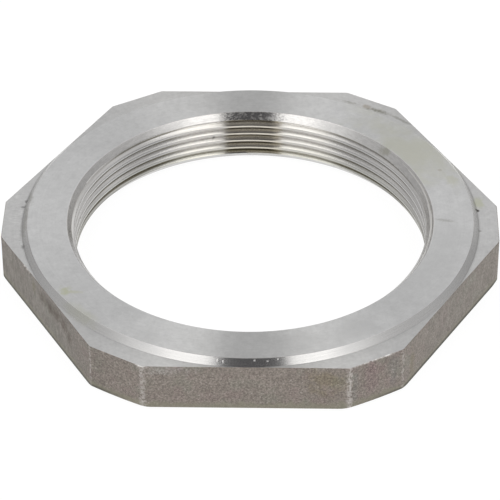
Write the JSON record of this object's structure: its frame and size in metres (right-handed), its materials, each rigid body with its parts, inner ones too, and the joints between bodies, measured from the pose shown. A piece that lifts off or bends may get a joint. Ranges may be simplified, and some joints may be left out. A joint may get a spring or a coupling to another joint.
{
  "type": "hub nut",
  "caption": "Thin hexagon hub nut with cut-off corners, a turned bearing boss and a large fine-threaded bore; it holds a wheel hub and its bearings on an axle end.",
  "frame": {"origin": "centre of the underside, on the thread's axis", "axes": "+Z along the thread's axis, from the underside to the bearing face; +Y square to a wrench flat; +X through a cut-off corner"},
  "size_m": [0.1102, 0.102, 0.0125],
  "materials": {
    "steel": "turned satin on the bearing face, boss flank and thread; dull grey-brown forged and milled sides with worn bright edges"
  },
  "bodies": {
    "root": {"hub_nut": "steel"}
  },
  "joints": []
}
